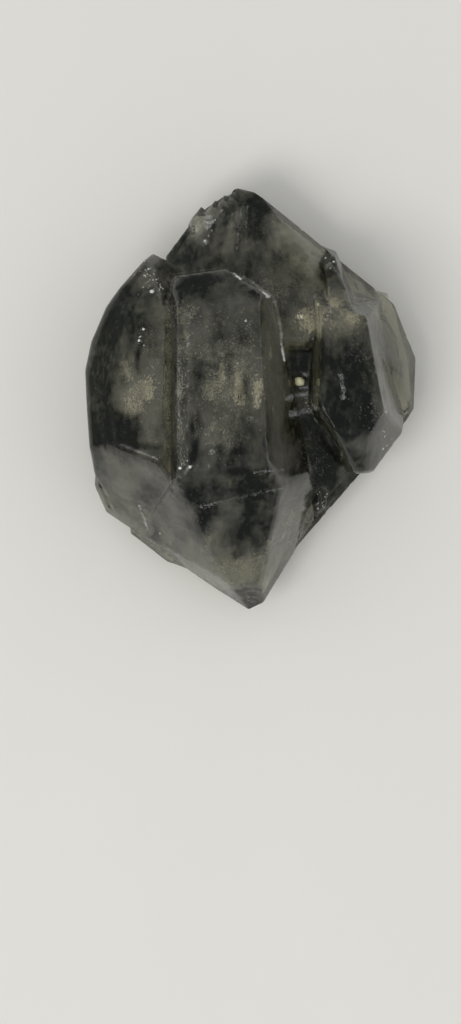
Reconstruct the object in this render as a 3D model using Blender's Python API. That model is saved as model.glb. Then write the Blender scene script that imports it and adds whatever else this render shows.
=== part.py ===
"""Smoky quartz: a group of crystals grown together side by side, lying on one flat side.

Every large crystal has its long axis along Y and a pointed end at each side, +Y and -Y. X runs across
the group and Z is up. Sizes and places are given in millimetres, and MM turns them into metres.
"""

import math
from collections import namedtuple

import bmesh
import bpy
from mathutils import Matrix, Vector

MM = 0.001

# Driving dimensions: the heights of the crystals' top faces above the surface the group rests on
CENTRE_TOP = 16.0
LEFT_TOP = 14.3
RIGHT_TOP = 13.0
BACK_TOP = 11.0
SADDLE_TOP = 9.3

# Height of the left crystal's outer edge, where its upper faces meet an upright wall
LEFT_RIM = 11.85

# Heights of the group's widest outline elsewhere, and of the left wall's foot
LEFT_WAIST = 5.5
WAIST = 5.0
SHELF_WAIST = 4.0

# Reach of the group from its middle
FRONT_TIP_Y = -19.2
BACK_TIP_Y = 19.1
LEFT_X = -14.9
RIGHT_X = 15.1

# Quartz's own angle between a point face's outward normal and the long axis
POINT_FACE_ANGLE = 51.8

# Height inside the group at which the upper crystals stop, each a little apart from the next
ROOT_Z = 1.9
ROOT_STEP = 0.13

# The six-sided blank that a large crystal is cut from
BLANK_RADIUS = 45.0
BLANK_LENGTH = 90.0

# How near to a cutting plane a corner counts as lying on it
CUT_TOLERANCE = 1e-5

SMOKE_COLOUR = (0.045, 0.043, 0.036, 1.0)
SMOKE_ROUGHNESS = 0.12

# A flat crystal face: heading is the compass direction that it looks to, 0 along +X and 90 along +Y,
# slope is 0 for a face that looks straight up and 90 for an upright one, and x, y, z is a point on it.
Face = namedtuple("Face", "name heading slope x y z")


def rim(name, heading, over, under, x, y, z):
    """The upper and the lower face that meet in one edge of the group's outline, with their slopes."""
    return Face(name, heading, over, x, y, z), Face(name + ", undercut", heading, under, x, y, z)


# The trunk: the wide lower body that carries the clear shelf at +X and the saddle between the crystals
TRUNK = (
    *rim("lower left point face", -128, 54, 122, -8.7, -13.9, 3.6),
    *rim("lower left ledge's end", -109, 62, 120, -6.3, -15.2, 3.6),
    *rim("lower right point face", -41, 40, 122, 6.8, -10.45, SHELF_WAIST),
    *rim("shelf side", -2, 60, 125, RIGHT_X, 1.8, SHELF_WAIST),
    *rim("shelf front corner", -32, 60, 125, 13.8, -2.7, SHELF_WAIST),
    *rim("shelf back corner", 22, 58, 125, 13.9, 7.1, SHELF_WAIST),
    Face("upper right point face", 46.6, 57.2, 1.1, 18.5, 6.0),
    Face("upper right undercut", 56.4, 125, 7.0, 13.8, WAIST),
    Face("saddle", -60, 6, 4.5, 1.8, SADDLE_TOP),
    Face("underside, back", 70, 164, -1.4, 9.1, 1.9),
    Face("underside, front", -90, 166, -1.4, -9.1, 1.8),
    Face("underside, left", 175, 154, -9.1, 0.0, 2.1),
    Face("underside, right", 5, 164, 8.6, 1.8, 1.9),
    Face("underside", 0, 180, 0.0, 0.0, 1.4),
    Face("buried under the back crystal", 62, 30.6, 0.3, 19.1, 5.9),
    Face("buried back", 130, 85, 4.5, 9.1, 8.0),
    Face("buried left", 184, 95, -11.8, 0.0, 4.0),
)

# The back crystal, whose point makes the group's far tip
BACK = (
    Face("left point face", 138, 38, -0.6, BACK_TIP_Y, 6.0),
    Face("narrow middle point face", 90, 27.6, -0.2, BACK_TIP_Y, 6.0),
    Face("right point face", 62, 30.6, 0.3, BACK_TIP_Y, 6.0),
    Face("clear right face", 46.6, 57.2, 1.1, 18.5, 6.06),
    Face("blunt tip", 90, 62, -0.7, BACK_TIP_Y + 0.1, 5.8),
    Face("top", 20, 6, 2.7, 9.1, BACK_TOP),
    Face("step down to the saddle", -88, 68, 4.5, 5.3, BACK_TOP),
    Face("right undercut", 56.4, 124, 7.0, 13.8, WAIST + 0.05),
    Face("tip undercut", 90, 125, -0.7, BACK_TIP_Y + 0.2, WAIST),
    Face("left undercut", 146, 122, -5.8, 15.6, 4.6),
    Face("tip's left undercut", 117, 118, -3.2, 18.25, WAIST + 0.15),
    Face("underside", 95, 170, 0.0, 12.0, 2.7),
    Face("buried left", 180, 95, -7.7, 9.1, WAIST),
    Face("buried right", 0, 90, 8.6, 9.1, WAIST),
    Face("root", 0, 180, 0.0, 0.0, ROOT_Z + ROOT_STEP),
)

# The centre crystal, the highest one, whose point makes the group's near tip
CENTRE = (
    Face("top", 200, 1, -2.5, 0.0, CENTRE_TOP),
    Face("right long face", 3, 60, 1.1, 1.4, CENTRE_TOP - 0.1),
    Face("back right point face", 58, 63, 0.7, 9.5, CENTRE_TOP - 0.1),
    Face("right wall", 12, 88, 3.3, 2.7, 12.0),
    Face("back right wall", 58, 88, 1.1, 9.7, 12.5),
    Face("back point face", 98, 43, -3.6, 8.5, CENTRE_TOP - 0.1),
    Face("back wall", 98, 86, -3.6, 11.6, 12.0),
    Face("left edge column", 180, 32, -5.7, 0.0, CENTRE_TOP - 0.1),
    Face("left long face", 180, 72, -6.6, 0.0, CENTRE_TOP - 0.7),
    Face("left point face", -131, 61, -10.0, -9.6, 8.3),
    Face("left point face's rim", -124, 76, -3.5, -15.7, 7.7),
    Face("front point face", -86, 38, -1.8, -6.2, CENTRE_TOP),
    Face("right point face", -27, 70, 2.5, -9.1, 13.5),
    Face("tip facet", -88, 58, -0.5, -16.7, 7.8),
    Face("tip undercut", -90, 125, -0.5, FRONT_TIP_Y, 4.0),
    Face("left undercut", -125, 122, -2.9, -17.7, 4.0),
    Face("right undercut", -39, 122, 3.6, -14.8, 4.2),
    Face("underside", -85, 170, 0.0, -12.0, 2.6),
    Face("buried left", 168, 90, -7.3, 9.1, WAIST),
    Face("root", 0, 180, 0.0, 0.0, ROOT_Z),
)

# The left crystal, with a tapering, many-faced outer side: gentle upper faces over an upright wall
LEFT = (
    Face("top", 170, 12, -10.5, 0.0, LEFT_TOP),
    *rim("outer side", 184, 43, 95, LEFT_X, 0.0, LEFT_RIM),
    *rim("front rim", 204, 45, 95, -13.6, -8.7, LEFT_RIM + 0.5),
    *rim("outer back side", 168, 43, 95, -14.7, 4.1, LEFT_RIM - 0.8),
    *rim("outer back point face", 157, 43, 95, -13.8, 6.8, LEFT_RIM - 1.0),
    *rim("back left point face", 143, 43, 96, -11.3, 10.9, LEFT_RIM - 0.9),
    Face("back point face", 100, 41, -9.4, 12.6, LEFT_RIM - 2.6),
    Face("back right point face", 50, 60, -8.6, 12.5, 8.4),
    Face("groove side", 0, 55, -7.9, 1.8, LEFT_TOP + 0.4),
    Face("front point face", -119, 58, -10.0, -9.6, 8.3),
    Face("front undercut", -125, 122, -10.9, -11.8, WAIST),
    Face("front rim's foot", 204, 120, -13.4, -8.6, LEFT_WAIST - 1.0),
    Face("outer foot", 184, 115, -14.7, 0.0, LEFT_WAIST),
    Face("outer back foot", 165, 120, -14.3, 5.9, LEFT_WAIST),
    Face("back left foot", 150, 120, -12.3, 8.8, LEFT_WAIST),
    Face("back foot", 70, 125, -9.1, 12.6, 6.0),
    Face("underside", 186, 160, -11.5, 0.0, 2.5),
    Face("root", 0, 180, 0.0, 0.0, ROOT_Z - ROOT_STEP),
)

# The right crystal, a dark block that stands up from the shelf
RIGHT = (
    Face("top", 5, 6, 8.6, 3.6, RIGHT_TOP),
    Face("left wall", 178, 76, 6.4, 5.0, RIGHT_TOP - 0.2),
    Face("right wall", 10.6, 76, 11.5, 2.7, RIGHT_TOP - 1.0),
    Face("back wall", 76, 75, 8.6, 7.9, RIGHT_TOP),
    Face("front point face", -83, 44, 10.0, -2.8, RIGHT_TOP - 0.1),
    Face("front left wall", -148, 84, 6.8, -1.9, RIGHT_TOP - 0.5),
    Face("front right point face", -30, 66, 12.9, -3.6, 8.0),
    Face("front right undercut", -41, 110, 9.7, -6.8, WAIST),
    Face("front undercut", -90, 95, 9.7, -6.5, 6.0),
    Face("root", 0, 180, 0.0, 0.0, ROOT_Z + 2 * ROOT_STEP),
)

# The slender spike behind the right crystal
SPIKE = (
    Face("top", 85, 42, 7.8, 10.6, 10.5),
    Face("right side", 24, 82, 8.5, 11.3, 8.0),
    Face("left side", 180, 82, 6.6, 12.0, 8.0),
    Face("tip", 138, 75, 6.9, 13.4, 6.0),
    Face("blunt tip", 85, 78, 7.4, 13.6, 6.0),
    Face("tip undercut", 24, 110, 7.6, 13.7, WAIST),
    Face("buried front", -90, 90, 8.2, 8.0, WAIST),
    Face("root", 0, 180, 0.0, 0.0, ROOT_Z + 3 * ROOT_STEP),
)

# The broad crystal underneath, whose lowest face is the spot that the group rests on
UNDER = (
    Face("resting face", 0, 180, 0.0, 0.0, 0.0),
    Face("left side", 182, 128, -5.4, 0.0, 0.0),
    Face("right side", -4, 130, 5.2, 0.0, 0.0),
    Face("front point face", -96, 141, -0.5, -6.6, 0.0),
    Face("front left point face", -138, 128, -5.0, -6.4, 0.0),
    Face("front right point face", -44, 126, 4.8, -6.0, 0.0),
    Face("back point face", 86, 142, 0.0, 6.8, 0.0),
    Face("back left point face", 140, 130, -4.6, 7.4, 0.0),
    Face("back right point face", 40, 128, 5.4, 6.0, 0.0),
    Face("buried top", 0, 0, 0.0, 0.0, 4.0),
)

# Three narrower crystals beside it, which keep clear of the surface that the group rests on
UNDER_LEFT = (
    Face("lower face", 178, 169, -9.4, 0.0, 1.0),
    Face("outer side", 184, 118, -12.4, 0.0, 3.0),
    Face("inner side", -2, 122, -7.2, 0.0, 1.2),
    Face("front point face", -104, 132, -9.4, -6.8, 1.4),
    Face("front outer point face", -146, 122, -12.0, -6.0, 3.0),
    Face("back point face", 98, 135, -9.6, 7.4, 1.6),
    Face("back outer point face", 142, 124, -11.6, 6.0, 3.0),
    Face("buried top", 0, 0, 0.0, 0.0, 4.2),
)

UNDER_RIGHT = (
    Face("lower face", 8, 168, 8.6, 1.0, 0.9),
    Face("outer side", 2, 120, 12.2, 1.0, 2.6),
    Face("inner side", 182, 118, 6.8, 1.0, 1.0),
    Face("front point face", -72, 134, 9.0, -4.6, 1.2),
    Face("front outer point face", -32, 122, 11.0, -2.8, 2.6),
    Face("back point face", 80, 136, 8.8, 7.6, 1.4),
    Face("back outer point face", 38, 124, 11.6, 6.2, 2.6),
    Face("buried top", 0, 0, 0.0, 0.0, 3.2),
)

UNDER_FRONT = (
    Face("lower face", -92, 164, 0.6, -10.6, 1.5),
    Face("left side", 178, 124, -2.6, -10.0, 1.6),
    Face("right side", 4, 122, 3.4, -10.0, 1.7),
    Face("left point face", -132, 130, -2.0, -13.6, 2.6),
    Face("right point face", -40, 130, 2.6, -12.6, 2.6),
    Face("buried back", 90, 90, 0.0, -7.2, 3.0),
    Face("buried top", 0, 0, 0.0, 0.0, 4.1),
)

# The low ledge at the lower left corner, which follows the left crystal's foot
CORNER_LEDGE = (
    Face("top", -142, 33, -12.4, -9.4, 5.0),
    *rim("outer side", 176, 74, 120, -14.25, -7.6, 3.8),
    *rim("outer point face", -155, 72, 120, -13.6, -9.3, 3.6),
    *rim("front point face", -124, 70, 120, -12.2, -10.85, 3.6),
    Face("buried back", 90, 90, -12.0, -3.0, 4.0),
    Face("buried right", 0, 90, -8.0, -9.0, 4.0),
    Face("root", 0, 180, 0.0, 0.0, ROOT_Z - 2 * ROOT_STEP),
)

LARGE_CRYSTALS = (
    ("under_crystal", UNDER),
    ("under_left_crystal", UNDER_LEFT),
    ("under_right_crystal", UNDER_RIGHT),
    ("under_front_crystal", UNDER_FRONT),
    ("back_crystal", BACK),
    ("left_crystal", LEFT),
    ("centre_crystal", CENTRE),
    ("right_crystal", RIGHT),
    ("spike", SPIKE),
    ("corner_ledge", CORNER_LEDGE),
)

# A small six-sided crystal of quartz's own form: its middle, half its width and its length, the compass
# heading and the rise of its long axis, and how far it is turned about that axis, in degrees
Bud = namedtuple("Bud", "name x y z radius length heading rise turn")

BUDS = (
    Bud("far_tip_first_step", -4.4, 15.6, 4.5, 1.35, 4.6, 92, 2, 16),
    Bud("far_tip_second_step", -3.2, 16.6, 4.85, 1.15, 3.7, 88, 3, 10),
    Bud("far_tip_third_step", -2.2, 17.4, 5.15, 0.95, 3.2, 91, 1, 14),
    Bud("lower_right_notch_upper", 6.3, -8.8, 5.0, 0.8, 3.4, 86, 3, 10),
    Bud("lower_right_notch_lower", 5.2, -10.2, 4.8, 0.75, 3.0, 92, 2, -6),
    Bud("shelf_corner", 11.8, -4.2, 4.9, 0.75, 2.8, 78, 4, 5),
    Bud("lower_left_ledge_upper", -7.6, -13.0, 3.9, 0.8, 3.0, 84, 6, 0),
    Bud("lower_left_ledge_lower", -6.4, -13.9, 3.7, 0.75, 2.8, 94, 4, 14),
)

# How far every second point face of a bud is set back, as a share of the bud's half width
BUD_SET_BACK = 0.1

# The steps in the saddle, which go down towards -Y: each one's top height and the place of its front
TERRACES = ((9.75, 0.2), (9.45, -0.7), (9.15, -1.6))
TERRACE_LEFT = 2.6
TERRACE_RIGHT = 8.0
TERRACE_BACK = 4.4
TERRACE_DEPTH = 3.0
TERRACE_FRONT_SLOPE = 66

# How far a buried side of a terrace stays off the next one's, for each millimetre between their fronts
TERRACE_STAGGER = 0.1

# The six-sided pit in the uppermost terrace: its middle on the surface, half its width there, its depth
PIT = Vector((4.45, 1.65, 9.75))
PIT_RADIUS = 0.5
PIT_DEPTH = 0.8
PIT_FLOOR_SHARE = 0.3


def start_empty():
    """Removes what the scene holds, and returns a collection for the group and one for its helpers."""
    for old in list(bpy.data.objects):
        bpy.data.objects.remove(old)
    collections = []
    for name in ("smoky_quartz_group", "helpers"):
        collection = bpy.data.collections.new(name)
        bpy.context.scene.collection.children.link(collection)
        collections.append(collection)
    return collections


def outward(heading, slope):
    """The unit vector of a face's outward normal."""
    around = math.radians(heading)
    lean = math.radians(slope)
    return Vector((math.cos(around) * math.sin(lean), math.sin(around) * math.sin(lean), math.cos(lean)))


def six_sided_bar(radius, length):
    """A new bmesh with a six-sided prism along Y, which has a flat side up."""
    bar = bmesh.new()
    bmesh.ops.create_cone(
        bar,
        cap_ends=True,
        segments=6,
        radius1=radius * MM,
        radius2=radius * MM,
        depth=length * MM,
        matrix=Matrix.Rotation(math.radians(90), 4, "X"),
    )
    return bar


def slice_off(bar, point, normal):
    """Cuts a convex solid along a plane, closes the cut, and keeps the part on the plane's inner side."""
    cut = bmesh.ops.bisect_plane(
        bar,
        geom=bar.verts[:] + bar.edges[:] + bar.faces[:],
        plane_co=point * MM,
        plane_no=normal,
        clear_outer=True,
        dist=CUT_TOLERANCE * MM,
    )
    border = [piece for piece in cut["geom_cut"] if isinstance(piece, bmesh.types.BMEdge)]
    if len(border) > 2:
        bmesh.ops.contextual_create(bar, geom=border)


def solid_from(bar, name, collection):
    """An object made of the bmesh, with its faces looking outwards."""
    bmesh.ops.recalc_face_normals(bar, faces=bar.faces)
    mesh = bpy.data.meshes.new(name)
    bar.to_mesh(mesh)
    bar.free()
    solid = bpy.data.objects.new(name, mesh)
    collection.objects.link(solid)
    return solid


def make_crystal(name, faces, collection):
    """A large crystal: a six-sided blank cut back to each of its listed faces."""
    bar = six_sided_bar(BLANK_RADIUS, BLANK_LENGTH)
    for face in faces:
        slice_off(bar, Vector((face.x, face.y, face.z)), outward(face.heading, face.slope))
    return solid_from(bar, name, collection)


def make_bud(bud, collection):
    """A small crystal with six point faces at each end."""
    bar = six_sided_bar(bud.radius, bud.length)
    lean = math.radians(POINT_FACE_ANGLE)
    for end in (1, -1):
        for side in range(6):
            around = math.radians(30 + 60 * side)
            set_back = BUD_SET_BACK * bud.radius * (side % 2)
            tip = Vector((0, end * (bud.length / 2 - set_back), 0))
            across = Vector((math.cos(around), 0, math.sin(around)))
            slice_off(bar, tip, across * math.sin(lean) + Vector((0, end * math.cos(lean), 0)))
    solid = solid_from(bar, bud.name, collection)
    turn = Matrix.Rotation(math.radians(bud.turn), 4, "Y")
    rise = Matrix.Rotation(math.radians(bud.rise), 4, "X")
    swing = Matrix.Rotation(math.radians(bud.heading - 90), 4, "Z")
    place = Matrix.Translation(Vector((bud.x, bud.y, bud.z)) * MM)
    solid.data.transform(place @ swing @ rise @ turn)
    return solid


def make_terrace(number, top, front, collection):
    """One step in the saddle, whose sides and back are buried in the crystals around it."""
    stagger = TERRACE_STAGGER * front
    faces = (
        Face("top", -84, 3, TERRACE_LEFT, front, top),
        Face("front", -86, TERRACE_FRONT_SLOPE, TERRACE_LEFT, front, top),
        Face("buried back", 90, 90, TERRACE_LEFT, TERRACE_BACK + stagger, top),
        Face("buried left", 180, 90, TERRACE_LEFT + stagger, front, top),
        Face("buried right", 0, 90, TERRACE_RIGHT + stagger, front, top),
        Face("root", 0, 180, TERRACE_LEFT, front, top - TERRACE_DEPTH),
    )
    return make_crystal(f"terrace_{number}", faces, collection)


def make_pit(collection):
    """The pit's cutter, a blunt pyramid that points down and reaches as far above the surface."""
    cutter = bmesh.new()
    bmesh.ops.create_cone(
        cutter,
        cap_ends=True,
        segments=6,
        radius1=PIT_FLOOR_SHARE * PIT_RADIUS * MM,
        radius2=(2 - PIT_FLOOR_SHARE) * PIT_RADIUS * MM,
        depth=2 * PIT_DEPTH * MM,
        matrix=Matrix.Translation(PIT * MM),
    )
    return solid_from(cutter, "terrace_pit", collection)


def combine(group, other, operation):
    """Joins the other solid to the group, or cuts it away, and keeps it as a hidden helper."""
    modifier = group.modifiers.new(other.name, "BOOLEAN")
    modifier.operation = operation
    modifier.object = other
    modifier.solver = "EXACT"
    other.hide_render = True
    other.display_type = "WIRE"


def put_middle_over_origin(group, helpers):
    """Moves the group and its helpers so that the group's middle, seen from above, is at 0, 0."""
    graph = bpy.context.evaluated_depsgraph_get()
    joined = group.evaluated_get(graph).to_mesh()
    places = [vertex.co.copy() for vertex in joined.vertices]
    group.evaluated_get(graph).to_mesh_clear()
    middle_x = (min(place.x for place in places) + max(place.x for place in places)) / 2
    middle_y = (min(place.y for place in places) + max(place.y for place in places)) / 2
    for solid in (group, *helpers.objects):
        solid.data.transform(Matrix.Translation((-middle_x, -middle_y, 0)))


def smoky_material():
    """Nearly black brown-grey, with the gloss of natural crystal faces."""
    material = bpy.data.materials.new("smoky_quartz")
    material.use_nodes = True
    shader = material.node_tree.nodes["Principled BSDF"]
    shader.inputs["Base Color"].default_value = SMOKE_COLOUR
    shader.inputs["Roughness"].default_value = SMOKE_ROUGHNESS
    shader.inputs["Metallic"].default_value = 0.0
    return material


def main():
    shown, helpers = start_empty()
    group = make_crystal("smoky_quartz", TRUNK, shown)
    group.data.materials.append(smoky_material())
    for name, faces in LARGE_CRYSTALS:
        combine(group, make_crystal(name, faces, helpers), "UNION")
    for number, (top, front) in enumerate(TERRACES, start=1):
        combine(group, make_terrace(number, top, front, helpers), "UNION")
    for bud in BUDS:
        combine(group, make_bud(bud, helpers), "UNION")
    combine(group, make_pit(helpers), "DIFFERENCE")
    put_middle_over_origin(group, helpers)


if __name__ == "__main__":
    main()
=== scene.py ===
"""Looks of a smoky quartz crystal group: worn glassy faces, pale clouds and cracks, painted highlights,
sparkles and a glint, a little painted shade, and a plain studio.
"""

import math
from collections import namedtuple

import bmesh
import bpy
import numpy as np
from bpy.props import FloatProperty, FloatVectorProperty, IntProperty, PointerProperty
from mathutils import Matrix, Vector, noise
from mathutils.bvhtree import BVHTree


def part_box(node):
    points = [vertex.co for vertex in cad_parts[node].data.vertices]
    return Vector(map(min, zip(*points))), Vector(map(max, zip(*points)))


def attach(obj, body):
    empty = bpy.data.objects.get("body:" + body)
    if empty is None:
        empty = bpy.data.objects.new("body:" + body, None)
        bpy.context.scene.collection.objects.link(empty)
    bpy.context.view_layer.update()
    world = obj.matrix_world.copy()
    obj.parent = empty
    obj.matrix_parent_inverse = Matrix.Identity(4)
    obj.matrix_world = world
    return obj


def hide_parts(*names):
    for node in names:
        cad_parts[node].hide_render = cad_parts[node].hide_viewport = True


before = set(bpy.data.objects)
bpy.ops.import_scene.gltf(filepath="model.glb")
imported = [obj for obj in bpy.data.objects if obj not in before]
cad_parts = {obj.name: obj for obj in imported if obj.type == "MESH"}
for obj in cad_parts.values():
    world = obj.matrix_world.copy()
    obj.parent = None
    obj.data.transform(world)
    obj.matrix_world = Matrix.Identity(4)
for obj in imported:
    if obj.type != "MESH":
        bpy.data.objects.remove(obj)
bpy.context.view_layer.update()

bl_info = {
    "name": "Smoky quartz looks",
    "version": (1, 0, 0),
    "blender": (4, 5, 0),
    "location": "3D View > Sidebar > Smoky quartz",
    "description": "Finishes a smoky quartz crystal group and sets it in a plain studio",
    "category": "Object",
}

MM = 0.001
NODE = "smoky_quartz"
BODY = "root"
UP = Vector((0, 0, 1))

# Rays that look for the top of the stone start this high, in metres
RAY_HEIGHT = 1.0

# One fixed seed for each group of random draws, and one for the noise that bends the smoke's zones
BEND_SEED = 3
CHIP_SEED = 4
CLOUD_SEED = 11
CRACK_SEED = 23
GRAIN_SEED = 31
PAINTED_GLINT_SEED = 5

# Framing: the picture's height in pixels, a pixel's width on the stone, and the place that its middle shows
PICTURE_HEIGHT = 1024
PIXEL = 0.091 * MM
PICTURE_MIDDLE = Vector((-1.87, -10.35, 8.0)) * MM

# Mesh detail. Nothing is reshaped on the face that the stone rests on, and little up to FOOT_HEIGHT.
WELD = 0.002 * MM
FLAT_ANGLE = math.radians(0.1)
CREASE_ANGLE = math.radians(12)
SMOOTH_ANGLE = math.radians(24)
FOOT_HEIGHT = 0.15 * MM
NEARLY_ZERO = 1e-9

# Growth on the faces: a finer wave's ratio and height, how far and how fast the steps bend, how far they
# shift from face to face, how many kinds of face there are each way, and the shares of a step's two slopes
FINE_WAVE = 2.7
FINE_WAVE_HEIGHT = 0.4
STEP_BEND = 1.3
STEP_BEND_RATIO = 0.5
STEP_BEND_PLACE = Vector((7, 3, 5))
FACE_SHIFT = 2
FACE_KINDS = 2
STEP_RISE = 0.8
STEP_FALL = 0.2

# Wear on a crease and beside one: how far the ridge is drawn in, and how much dust lies there. It changes
# along the ridge, and is at least WORN_LEAST.
RING_PULL = (1.0, 0.12)
RING_DUST = (0.3, 0.12)
WORN_SIZE = 1.1 * MM
WORN_LEAST = 0.35

# Chips are scoops. Their middle lies over the ridge by CHIP_LIFT of the radius, CHIP_LEAST is the smallest
# one's share of the widest, ripples cross their floor, and CHIP_CUT of the scoop is cut away. The deeper
# a chip, the more dust lies in it, up to CHIP_DUST.
CHIPS_ABOVE = 4 * FOOT_HEIGHT
CHIP_LIFT = 0.55
CHIP_LEAST = 0.25
CHIP_RIPPLE = 0.08
CHIP_RIPPLES = 40
CHIP_CUT = 0.8
CHIP_DUST_DEPTH = 0.05 * MM
CHIP_DUST = 0.5

# Ridges are softened above this height. They stay crisp on the slender spike and on the centre crystal's
# far crest: low x, low y, high x and high y in mm.
SOFT_ABOVE = 6.6 * MM
SOFT_SHARE = 0.5
CRISP_BOXES = ((5.4, 9.9, 10.0, 14.4), (-8.0, 10.9, -0.9, 13.5))

# The smoke's patches are longer along the crystals than across: the share that their place along Y counts.
# Noise bends the outlines of the zones, and ZONE_EDGE says how sharp they are.
STREAK_STRETCH = 0.55
PATCH_SIZE = 2.6 * MM
PATCH_NOISE = (0.7, 2.0, 4)
BEND_SIZE = 2.2 * MM
BEND_REACH = 0.9
ZONE_EDGE = 1.5

# A zone where the stone is smokier, or clearer where change is under 0: its middle and half widths in mm.
# Some smokier zones are painted shade: on the step below the back crystal's left face, in the recess low
# between the centre and right crystals, and on the groove wall beside the right crystal.
Zone = namedtuple("Zone", "x y half_x half_y change")
SMOKE_AND_SHADE_ZONES = [Zone(*row) for row in (
    (-14.2, 1.5, 1.7, 8.0, 0.8),
    (-12.2, 6.5, 1.6, 3.0, 0.45),
    (-11.6, -2.7, 1.6, 1.6, 0.7),
    (-10.1, 7.3, 2.4, 2.2, 0.4),
    # These two zones are painted shade on the step below the back crystal's left face
    (-7.0, 9.8, 0.9, 1.3, 0.8),
    (-4.0, 10.3, 2.2, 1.2, 0.9),
    (-0.6, 9.7, 1.0, 0.9, 0.4),
    (8.9, 0.6, 2.6, 4.4, 0.7),
    (9.3, -1.8, 2.4, 1.8, 0.5),
    # Painted shade in the recess low between the centre and right crystals
    (5.9, -4.7, 3.4, 4.2, 0.7),
    (4.4, 3.4, 1.4, 2.2, 0.6),
    (7.3, 12.3, 0.8, 1.8, 0.8),
    (0.9, 16.2, 1.3, 2.4, 1.0),
    (-4.8, 13.0, 2.2, 1.6, 0.4),
    (-2.6, 16.0, 1.8, 1.6, 0.3),
    (1.0, -9.6, 2.4, 3.2, 0.55),
    (-9.9, -4.7, 2.4, 0.5, 0.5),
    (-0.6, -18.0, 1.6, 1.4, 0.7),
    # Painted shade on the groove wall beside the right crystal
    (5.8, 3.0, 0.8, 3.4, 1.0),
    (-10.2, 3.1, 0.35, 1.1, 0.7),
    (-11.6, 1.4, 0.3, 0.8, 0.5),
    (-3.3, 2.5, 1.0, 0.35, 0.5),
    (-4.9, -3.2, 0.5, 2.2, 0.5),
    (-1.9, 5.4, 1.6, 0.5, 0.25),
    (-2.6, -4.9, 2.2, 0.6, 0.35),
    (13.4, 4.4, 2.2, 9.0, -1.0),
    (2.9, 17.0, 0.8, 1.2, -0.9),
    (4.5, 15.3, 1.0, 1.3, -0.9),
    (6.0, 13.8, 0.9, 1.2, -0.9),
    (2.1, 16.4, 0.7, 0.9, -0.4),
    (3.3, 14.7, 0.9, 1.0, -0.5),
    (4.6, 13.0, 0.9, 1.0, -0.5),
    (5.5, 11.9, 0.6, 0.8, -0.4),
    (-10.3, 0.8, 2.2, 3.2, -0.7),
    (-7.5, 1.0, 0.7, 9.0, -0.35),
    (-6.0, 4.0, 0.9, 5.0, -0.4),
    (-1.9, 1.4, 3.0, 3.4, -0.36),
    (-2.0, -4.0, 3.2, 2.2, -0.05),
    (2.2, 2.6, 1.0, 6.0, -0.7),
    (3.3, -4.6, 1.2, 3.0, -0.5),
    (5.2, 7.3, 1.6, 2.6, -0.7),
    (8.2, 8.0, 1.9, 1.9, -0.7),
    (-10.6, -9.2, 3.6, 3.6, -0.3),
    (-4.6, -11.5, 1.3, 3.0, 0.4),
    (-3.6, -9.6, 0.4, 2.6, -0.15),
    (-9.6, -8.3, 1.2, 1.5, 0.6),
    (-8.8, -12.3, 0.5, 1.0, 0.8),
    (-0.1, 1.5, 0.25, 1.4, 0.5),
    (-1.1, 0.8, 0.5, 1.7, -0.5),
    (0.6, 0.3, 0.5, 1.6, -0.6),
    (-9.2, 0.4, 1.0, 1.3, -0.5),
    (-10.8, -0.8, 1.0, 1.2, -0.4),
    (-1.9, 3.4, 0.5, 0.9, 0.4),
    (-1.7, -15.1, 3.2, 1.3, -0.6),
    (-4.6, -15.4, 3.2, 2.2, -0.7),
    (3.4, -12.4, 1.6, 3.6, -0.6),
)]

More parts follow.
